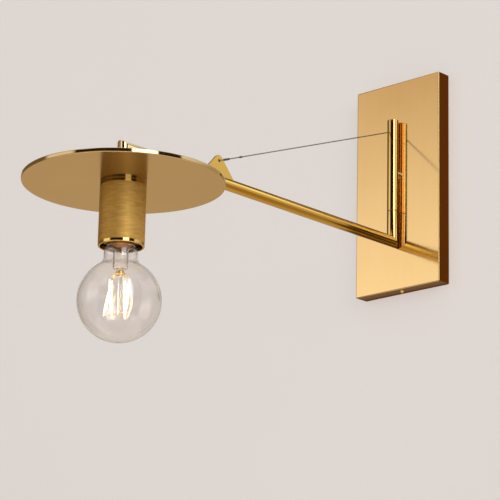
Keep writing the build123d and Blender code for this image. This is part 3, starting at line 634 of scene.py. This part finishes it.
def glass_globe():
    """Blown globe: the ball, the flare, the neck and the lip inside the screw cap."""
    neck = 16.2 * MM
    flare = 10 * MM
    shoulder = neck - 0.7 * MM
    shoulder_z = CAP_LOW - 2.7 * MM
    lip_low = CAP_LOW - 0.5 * MM
    inner_drop = 0.4 * MM
    shoulder_soft = 0.6 * MM
    lip_soft = 0.8 * MM
    across = neck + flare
    up = math.sqrt((GLOBE_RADIUS + flare) ** 2 - across**2)
    flare_z = BULB_Z + up
    join = math.degrees(math.atan2(up, across))
    ball_steps = 44
    flare_steps = 10
    globe = Section(0, BULB_Z - GLOBE_RADIUS)
    globe.arc(0, BULB_Z, 90 + join, ball_steps)
    globe.arc(across, flare_z, -join, flare_steps)
    globe.line(neck, NECK_END, 0).line(shoulder, shoulder_z, shoulder_soft)
    globe.line(LIP_RADIUS, lip_low, lip_soft).line(LIP_RADIUS, GLASS_TOP, 0)
    globe.line(LIP_RADIUS - GLASS, GLASS_TOP, 0)
    globe.line(LIP_RADIUS - GLASS, lip_low - inner_drop, lip_soft)
    globe.line(shoulder - GLASS, shoulder_z - inner_drop, shoulder_soft)
    globe.line(neck - GLASS, NECK_END - inner_drop, 0).line(neck - GLASS, flare_z, 0)
    globe.arc(across, flare_z, join, flare_steps)
    globe.arc(0, BULB_Z, -90 - join, ball_steps)
    return moved(globe.turn(GLOBE_ROUND), UPRIGHT_HEAD)


def glass_stem():
    """Flared stem with a rounded foot, and the thin glass post that holds the filaments."""
    round_off = 2.6 * MM
    round_steps = 8
    post_tip_edge = 0.9 * MM
    post_root_edge = 0.8 * MM
    flare_edge = 1.5 * MM
    gap = 0.02 * MM
    flare_radius = LIP_RADIUS - GLASS - gap
    inner = STEM_RADIUS - GLASS
    turn_radius = STEM_RADIUS - round_off
    turn_z = STEM_LOW + round_off
    stem = Section(0, STEM_POST_LOW).line(STEM_POST_RADIUS, STEM_POST_LOW, post_tip_edge)
    stem.line(STEM_POST_RADIUS, STEM_LOW, post_root_edge).line(turn_radius, STEM_LOW, 0)
    stem.arc(turn_radius, turn_z, 90, round_steps)
    stem.line(STEM_RADIUS, NECK_END, flare_edge).line(flare_radius, GLASS_TOP - GLASS, 0)
    stem.line(flare_radius, GLASS_TOP, 0).line(flare_radius - GLASS, GLASS_TOP, 0)
    stem.line(inner, NECK_END, flare_edge).line(inner, turn_z, 0)
    stem.arc(turn_radius, turn_z, -90, round_steps)
    stem.line(0, STEM_LOW + GLASS, 0)
    return moved(stem.turn(STEM_ROUND), UPRIGHT_HEAD)


def rod(start, end, *radii):
    """Round rod between two points. Its radius is given at even steps."""
    way = end - start
    section = Section(0, 0)
    for step, radius in enumerate(radii):
        section.line(radius, way.length * step / (len(radii) - 1), 0)
    section.line(0, way.length, 0)
    place = Matrix.Translation(start) @ way.to_track_quat("Z", "Y").to_matrix().to_4x4()
    return moved(section.turn(ROD_ROUND), place)


def filament_ends():
    """Upper and lower end of each filament, in the lamp's frame."""
    rows = []
    for shares in FILAMENT_ENDS:
        ends = []
        for across, forwards, up in shares:
            level_way = Matrix.Rotation(FILAMENT_TURN, 3, "Z") @ Vector((across, -forwards, 0))
            ends.append(Vector((0, HEAD_Y, BULB_Z)) + GLOBE_RADIUS * level_way
                        + Vector((0, 0, GLOBE_RADIUS * up)))
        rows.append(ends)
    return rows


def filament_rods():
    """Four coated rods, thickest in the middle, with bare metal ends."""
    bare_end = 2.2 * MM
    metal_radius = 0.35 * MM
    rods = bmesh.new()
    for upper, lower in filament_ends():
        tip = (upper - lower).normalized() * bare_end
        joined(rods, rod(lower + tip, upper - tip, *(r * MM for r in FILAMENT_RADII)))
        joined(rods, rod(lower, upper, metal_radius, metal_radius))
    return rods


def filament_wires():
    """Gold wires: bent ones from a twisted hub under the stem, plain ones from the post's tip."""
    wires = bmesh.new()
    thick = 0.35 * MM
    thin = 0.8 * thick
    root = 1.75 * MM
    bend_in = 0.8 * MM
    stem_hub = (STEM_LOW - 1.6 * MM, 2.4 * MM)
    post_hub = (STEM_POST_LOW + 1.0 * MM, 0.6 * MM)
    ring_outer = 4.2 * MM
    ring_inner = 3.5 * MM
    ring_half = 0.35 * MM
    ring_edge = 0.2 * MM
    ring_tilt = math.radians(24)
    first_ring = 2.4
    ring_step = 0.5
    for turn, (upper, lower) in enumerate(filament_ends()):
        for end, (hub_z, rise) in ((upper, stem_hub), (lower, post_hub)):
            outward = Vector((end.x, end.y - HEAD_Y, 0)).normalized()
            start = Vector((0, HEAD_Y, hub_z)) + outward * root
            elbow = end + Vector((0, 0, rise)) - bend_in * outward
            joined(wires, rod(start, elbow, thin, thick, thick, thin))
            joined(wires, rod(elbow, end, thin, thick, thick, thin))
        ring = tube_section(ring_outer, ring_inner, -ring_half, ring_half, ring_edge, ring_edge)
        tilt = Matrix.Rotation(ring_tilt if turn < 2 else -ring_tilt, 4, "X" if turn % 2 else "Y")
        ring_z = STEM_LOW - (first_ring + ring_step * turn) * MM
        place = Matrix.Translation((0, HEAD_Y, ring_z))
        joined(wires, moved(ring.turn(RING_ROUND), place @ tilt))
    return wires


# Pieces

gold_plate = satin_plate()
gold_tube = satin_tube()
brass = polished_brass()
# Painted shade: the post's foot takes a darker copy of the polished brass, because its
# reflections are darker below the seam. Its slightly higher roughness is its own finish.
foot_brass_painted_shade = polished_brass("foot_brass_painted_shade", (0.78, 0.52, 0.20), (0.66, 0.42, 0.14), 0.05)
elbow_brass = polished_brass("elbow_brass", (0.97, 0.80, 0.50), (0.90, 0.70, 0.38))

piece("plate_cover", plate_cover(), "wall_mount", gold_plate, "gold_aluminium",
      "wall_plate_cover")

knuckle_low, knuckle_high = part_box("post_knuckle")
knuckle = tube_section(TUBE_RADIUS, TUBE_BORE, knuckle_low.z, knuckle_high.z,
                       SEAM_EDGE, SEAM_EDGE)
piece("post_middle", moved(knuckle.turn(), UPRIGHT_POST), "wall_mount", brass, "polished_brass",
      "post_knuckle")

sleeve_low, sleeve_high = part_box("post_top_sleeve")
sleeve = tube_section(TUBE_RADIUS, SLEEVE_BORE, sleeve_low.z, sleeve_high.z,
                      SEAM_EDGE, SEAM_EDGE)
piece("post_head", moved(sleeve.turn(), UPRIGHT_POST), "arm", brass, "polished_brass",
      "post_top_sleeve")

cap_low, cap_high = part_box("post_cap")
cap_spigot = 4.0 * MM
cap = Section(0, cap_low.z).line(cap_spigot, cap_low.z).line(cap_spigot, sleeve_high.z, 0)
cap.line(TUBE_RADIUS, sleeve_high.z, 0.1 * MM).line(TUBE_RADIUS, cap_high.z, 0.4 * MM)
cap.line(0, cap_high.z, 0)
piece("post_end_cap", moved(cap.turn(), UPRIGHT_POST), "arm", brass, "polished_brass",
      "post_cap")

post_corner = (0, POST_Y, ARM_Z)
foot = tube_section(TUBE_RADIUS, SLEEVE_BORE, ARM_Z - PAST_CORNER,
                    high_of("post_lower_sleeve").z, SEAM_EDGE, SEAM_EDGE)
piece("post_foot", mitred(moved(foot.turn(), UPRIGHT_POST), post_corner, (0, -1, -1)),
      "arm", foot_brass_painted_shade, "polished_brass", "post_lower_sleeve")

arm = tube_section(TUBE_RADIUS, TUBE_BORE, low_of("arm_tube").y, POST_Y + PAST_CORNER)
piece("long_arm", mitred(moved(arm.turn(), ALONG_ARM), post_corner, (0, 1, 1)),
      "arm", gold_tube, "gold_aluminium", "arm_tube")

piece("wire_ear", wire_ear(), "arm", gold_tube, "gold_aluminium", "wire_lug", sharp=15)
piece("corner_elbow", corner_fitting(), "arm", elbow_brass, "polished_brass", "head_fitting")

washer_low, washer_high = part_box("stem_washer")
washer = tube_section(washer_high.x, NIPPLE_HOLE, washer_low.z, washer_high.z)
piece("stem_ring", moved(washer.turn(), UPRIGHT_HEAD), "arm", brass, "polished_brass",
      "stem_washer")
piece("round_disc", disc(), "arm", spun_disc(), "gold_aluminium", "disc_shade")
piece("turned_cup", holder_cup(), "arm", turned_cup(), "gold_aluminium", "holder_cup")

ball = piece("glass_ball", glass_globe(), "bulb", clear_glass("blown_glass"), "clear_glass",
             "bulb_globe")
stem_tube = piece("glass_stem", glass_stem(), "bulb",
                  clear_glass("stem_glass", (1.0, 1.0, 0.98), 0.16), "clear_glass", "bulb_stem")
# Clear glass throws no dark shadow, so the filaments light the cup and the disc through it
for clear_piece in (ball, stem_tube):
    clear_piece.visible_shadow = False
piece("filament_rods", filament_rods(), "bulb", lit_phosphor(), "lit_filament", "bulb_filaments")
piece("filament_wires", filament_wires(), "bulb",
      dull_steel("support_wire", (0.92, 0.66, 0.26), 0.2), "support_wire", "filament_supports")

# Finishes of the CAD pieces that stay

paint(dull_steel("zinc_plated_strap", (0.62, 0.63, 0.62), 0.32), "wall_bracket", "stud_washer",
      "stud_nut")
paint(polished_brass("screw_brass", shine=0.12), "cover_screws", "set_screw")
# Painted highlight: the stud's brass is nearly white, so that it shows as a glint between the
# post and the wall box
paint(polished_brass("stud_brass_painted_glint", (1.0, 0.86, 0.66), (0.95, 0.78, 0.55), 0.25), "standoff_stud")
paint(brass, "upper_bush", "lower_bush")
paint(dull_steel("nipple_steel", (0.60, 0.58, 0.52), 0.3), "threaded_nipple", "lock_nut",
      "clamp_screws")
paint(dull_steel("earth_screw_brass", (0.78, 0.60, 0.28), 0.25), "earth_screw",
      "terminal_inserts", "centre_contact", "bulb_tip_contact")
paint(dull_steel("spindle_steel", (0.50, 0.50, 0.50), 0.22), "pivot_spindle", "wire_anchor")
paint(dull_steel("stay_wire_steel", (0.33, 0.30, 0.28), 0.35, (2000, 300, 2000)), "stay_wire")
paint(dull_steel("crimp_steel", (0.20, 0.19, 0.18), 0.35), "wire_ferrules")
paint(moulded("seam_plastic", (0.05, 0.045, 0.04), 0.4), "seam_washer")
paint(moulded("terminal_plastic", (0.75, 0.74, 0.70), 0.45), "terminal_block")
paint(moulded("flex_sheath", (0.60, 0.56, 0.48), 0.45, 900), "supply_flex", "arm_flex")
paint(moulded("core_plastic", (0.10, 0.20, 0.42), 0.4), "supply_cores", "holder_cores")
paint(moulded("grommet_rubber", (0.03, 0.03, 0.03), 0.6), "cable_grommet")
paint(moulded("holder_plastic", (0.03, 0.028, 0.026), 0.12), "holder_cap", "holder_skirt")
paint(moulded("holder_ceramic", (0.80, 0.78, 0.73), 0.3, 700), "contact_block")
paint(dull_steel("shell_brass", (0.80, 0.58, 0.24), 0.22), "screw_shell")
paint(dull_steel("cap_brass", (0.97, 0.60, 0.22), 0.34), "bulb_cap")
paint(moulded("cap_glass", (0.03, 0.03, 0.035), 0.15), "bulb_insulator")

# Studio

WALL_TONE = (0.745, 0.700, 0.672)
LAMP_MIDDLE = Vector((0, HEAD_Y, -0.1))
# Camera that the photo's edges fit: angles in degrees, focal length in pixels
CAMERA_PLACE = (1.589677, -1.933859, -0.800931)
CAMERA_YAW = 43.298
CAMERA_PITCH = 16.245
CAMERA_ROLL = 1.249
FOCAL_PIXELS = 2412.337
PHOTO_PIXELS = 500
SENSOR = 36.0
# What metal mirrors, by direction: from azimuth, to azimuth and softness, in degrees from X
# towards Y
BACK_WALL = (23, 158, 1.5)
LEFT_WINDOW = (-140, -101, 5.0)
DARK_SCREEN = (-100, -35, 2.0)
RIGHT_WINDOW = (-35, -6, 1.5)
DARK_GAP = (-6, 21, 1.5)
# Share of the world's light that falls on matt pieces
FILL_LIGHT = 0.42
# Stage, in metres: the floor fades away between two radii
FLOOR_SIZE = 3.2
FLOOR_Z = -1.3
FLOOR_FADE = (0.9, 1.5)
WALL_WIDTH = 2.9
WALL_HEIGHT = 2.6
WALL_MIDDLE = (-0.15, 0.6 * MM, 0.0)


def photo_camera():
    yaw, pitch, roll = (math.radians(a) for a in (CAMERA_YAW, CAMERA_PITCH, CAMERA_ROLL))
    ahead = Vector((-math.sin(yaw) * math.cos(pitch), math.cos(yaw) * math.cos(pitch),
                    math.sin(pitch)))
    right = Vector((math.cos(yaw), math.sin(yaw), 0))
    up = right.cross(ahead)
    right, up = (math.cos(roll) * right + math.sin(roll) * up,
                 math.cos(roll) * up - math.sin(roll) * right)
    data = bpy.data.cameras.new("photo_camera")
    data.sensor_width = SENSOR
    data.lens = SENSOR * FOCAL_PIXELS / PHOTO_PIXELS
    data.clip_start = 0.05
    data.clip_end = 50.0
    camera = bpy.data.objects.new("photo_camera", data)
    turn = Matrix((right, up, -ahead)).transposed().to_4x4()
    camera.matrix_world = Matrix.Translation(CAMERA_PLACE) @ turn
    bpy.context.scene.collection.objects.link(camera)
    bpy.context.scene.camera = camera


def softbox(name, place, target, width, height, strength):
    """A soft lamp that no mirror shows."""
    data = bpy.data.lights.new(name, "AREA")
    data.shape = "RECTANGLE"
    data.size = width
    data.size_y = height
    data.energy = strength * math.pi * width * height
    turn = (Vector(target) - Vector(place)).to_track_quat("-Z", "Y").to_matrix().to_4x4()
    lamp = bpy.data.objects.new(name, data)
    lamp.matrix_world = Matrix.Translation(place) @ turn
    lamp.visible_camera = False
    lamp.visible_glossy = False
    bpy.context.scene.collection.objects.link(lamp)


def around_lamp(distance, azimuth, elevation):
    """Place at that distance from the lamp's middle, by angles in degrees."""
    a, e = math.radians(azimuth), math.radians(elevation)
    return LAMP_MIDDLE + distance * Vector((math.cos(a) * math.cos(e),
                                            math.sin(a) * math.cos(e), math.sin(e)))


# Heights of the world's zones are the Z of a direction of length 1

def mirrored_back_wall(f, azimuth, z):
    """Wall: brown low down, grey at eye level, pale above, and dark at the top."""
    level = f.mix(f.ease(azimuth, 30, 78), (0.80, 0.79, 0.78), (0.42, 0.37, 0.28))
    brown = f.mix(f.ease(azimuth, 60, 110), (0.36, 0.24, 0.09), (0.50, 0.385, 0.235))
    tone = f.mix(f.ease(z, -0.22, 0.22), brown, level)
    tone = f.mix(f.ease(z, 0.33, 0.44), tone, (1.25, 1.20, 1.12))
    tone = f.mix(f.ease(z, 0.62, 0.68), tone, (0.16, 0.14, 0.10))
    shaded = f.between(z, 0.42, 0.75, 0.04) * f.ease(azimuth, 78, 92)
    return f.mix(shaded, tone, (0.15, 0.13, 0.09))


def mirrored_left_window(f, z):
    """Window: bright at eye level, warm above, brown below."""
    tone = f.mix(f.ease(z, 0.24, 0.40), (1.20, 1.18, 1.15), (0.50, 0.37, 0.24))
    return f.mix(f.ease(z, 0.12, -0.10), tone, (0.20, 0.13, 0.07))


def mirrored_screen(f, azimuth, z, second_hand):
    """Black screen with a warm opening, a brown foot and light over its top."""
    opening = f.between(z, -0.17, 0.10, 0.04) * f.between(azimuth, -112, -64, 4.0)
    tone = f.mix(opening, (0.022, 0.015, 0.008), (0.85, 0.66, 0.38))
    tone = f.mix(f.ease(z, -0.36, -0.42), tone, (0.50, 0.39, 0.23))
    lintel = second_hand * f.between(z, 0.35, 0.56, 0.03)
    tone = f.mix(lintel, tone, (2.2, 2.1, 1.8))
    over_top = f.ease(z, 0.45, 0.52) * f.ease(azimuth, -80, -88)
    return f.mix(over_top, tone, (1.30, 1.25, 1.15))


def studio_world():
    """Pale to look at. Metal shows windows, dark screens, a warm back wall and a pale ceiling."""
    world = bpy.data.worlds.new("pale_studio")
    bpy.context.scene.world = world
    world.cycles.sampling_method = "NONE"
    f = Finish(world)
    x, y, z = f.parts(f.node("TexCoord", output=0))
    azimuth = f.heading(x, y) * (180 / math.pi)
    second_hand = f.ease(f.ray("Glossy Depth"), 1.2, 1.8)
    seen = f.mix(f.between(azimuth, *BACK_WALL), (0.17, 0.125, 0.06),
                 mirrored_back_wall(f, azimuth, z))
    seen = f.mix(f.between(azimuth, *LEFT_WINDOW), seen, mirrored_left_window(f, z))
    seen = f.mix(f.between(azimuth, *DARK_SCREEN), seen,
                 mirrored_screen(f, azimuth, z, second_hand))
    right_window = f.mix(f.ease(z, -0.15, 0.15), (1.3, 1.35, 1.4), (3.6, 3.55, 3.4))
    seen = f.mix(f.between(azimuth, *RIGHT_WINDOW), seen, right_window)
    seen = f.mix(f.between(azimuth, *DARK_GAP), seen, (0.030, 0.022, 0.012))
    seen = f.mix(f.ease(z, 0.72, 0.82), seen, (0.78, 0.75, 0.72))
    seen = f.mix(f.ease(z, -0.62, -0.78), seen, (1.15, 1.08, 1.0))
    # Gold seen in gold is darker and less yellow than its colour squared
    seen = f.mix(second_hand, seen, f.stretched(seen, (0.50, 0.56, 0.75)))
    tone = f.mix(f.mirrored(), WALL_TONE, seen)
    shown = (f.looked_at() + f.ray("Is Glossy Ray")).capped()
    strength = FILL_LIGHT + (1 - FILL_LIGHT) * shown
    back = f.node("Background", {"Color": tone, "Strength": strength})
    f.node("OutputWorld", {"Surface": back})


def plaster(f, bump_height, tone):
    """Pale plaster: part of its paleness is its own, so that the object's shadow stays soft."""
    share = 0.62
    matt = f.node("BsdfDiffuse", {"Color": f.stretched(tone, (share, share, share)),
                                  "Normal": f.bump(bump_height, 0.05, 0.3 * MM)})
    own = f.node("Emission", {"Color": tone, "Strength": share})
    return f.node("AddShader", {0: matt, 1: own})


def plaster_tone(f, scale):
    return f.mix(f.cloud(scale), darker(WALL_TONE, 0.98), WALL_TONE)


def wall_finish():
    """Wall behind the lamp. Metal sees of it only the strip right beside the wall box, where a
    dark brown glow is painted shade, greyer under the box.
    """
    f = finish("pale_plaster")
    length = f.ray("Ray Length")
    in_front = 1 - f.node("NewGeometry", output="Backfacing")
    shown = f.looked_at() * in_front * f.ease(length, 3 * MM, 4 * MM)
    beside = f.mirrored() * in_front * (1 - f.ease(length, 30 * MM, 45 * MM))
    height = f.parts(f.spot())[2]
    # Painted shade: mirrors see a dark brown glow for the contact shadow beside the box, and a
    # greyer one under it
    under = 1 - f.ease(height, BOX_LOW - 3.5 * MM, BOX_LOW - 0.5 * MM)
    shade = f.mix(under, (0.115, 0.040, 0.008), (0.17, 0.12, 0.09))
    shaded = f.node("Emission", {"Color": shade, "Strength": 1.0})
    clear = f.node("BsdfTransparent")
    wall = plaster(f, f.cloud(420, 2), plaster_tone(f, 5))
    both = f.node("MixShader", {0: shown, 1: clear, 2: wall})
    both = f.node("MixShader", {0: beside, 1: both, 2: shaded})
    f.node("OutputMaterial", {"Surface": both})
    return f.owner


def floor_finish():
    """Round pale floor that fades away towards its rim."""
    f = finish("pale_floor")
    radius = f.around_head()[0]
    clear = f.node("BsdfTransparent")
    floor = plaster(f, f.cloud(3), plaster_tone(f, 3))
    both = f.node("MixShader", {0: 1 - f.ease(radius, *FLOOR_FADE), 1: clear, 2: floor})
    f.node("OutputMaterial", {"Surface": both})
    return f.owner


def stage_sheet(name, width, depth, matrix, material):
    mesh = bmesh.new()
    bmesh.ops.create_grid(mesh, x_segments=1, y_segments=1, size=0.5)
    bmesh.ops.scale(mesh, vec=(width, depth, 1), verts=mesh.verts)
    moved(mesh, matrix)
    data = bpy.data.meshes.new(name)
    mesh.to_mesh(data)
    mesh.free()
    data.materials.append(material)
    sheet = bpy.data.objects.new(name, data)
    bpy.context.scene.collection.objects.link(sheet)


photo_camera()
studio_world()
floor_place = Matrix.Translation((0, HEAD_Y, FLOOR_Z))
wall_place = Matrix.Translation(WALL_MIDDLE) @ Matrix.Rotation(math.radians(90), 4, "X")
stage_sheet("floor", FLOOR_SIZE, FLOOR_SIZE, floor_place, floor_finish())
stage_sheet("wall", WALL_WIDTH, WALL_HEIGHT, wall_place, wall_finish())
softbox("right_window", around_lamp(distance=2.3, azimuth=-21, elevation=20), LAMP_MIDDLE,
        width=1.35, height=1.5, strength=2.2)
softbox("left_window", around_lamp(distance=2.2, azimuth=-128, elevation=12), (0, -0.2, -0.1),
        width=1.7, height=1.7, strength=1.0)
softbox("top_panel", (0.2, -0.9, 1.9), (0, -0.3, 0), width=1.6, height=1.2, strength=0.8)

bpy.context.scene.view_settings.view_transform = "Standard"
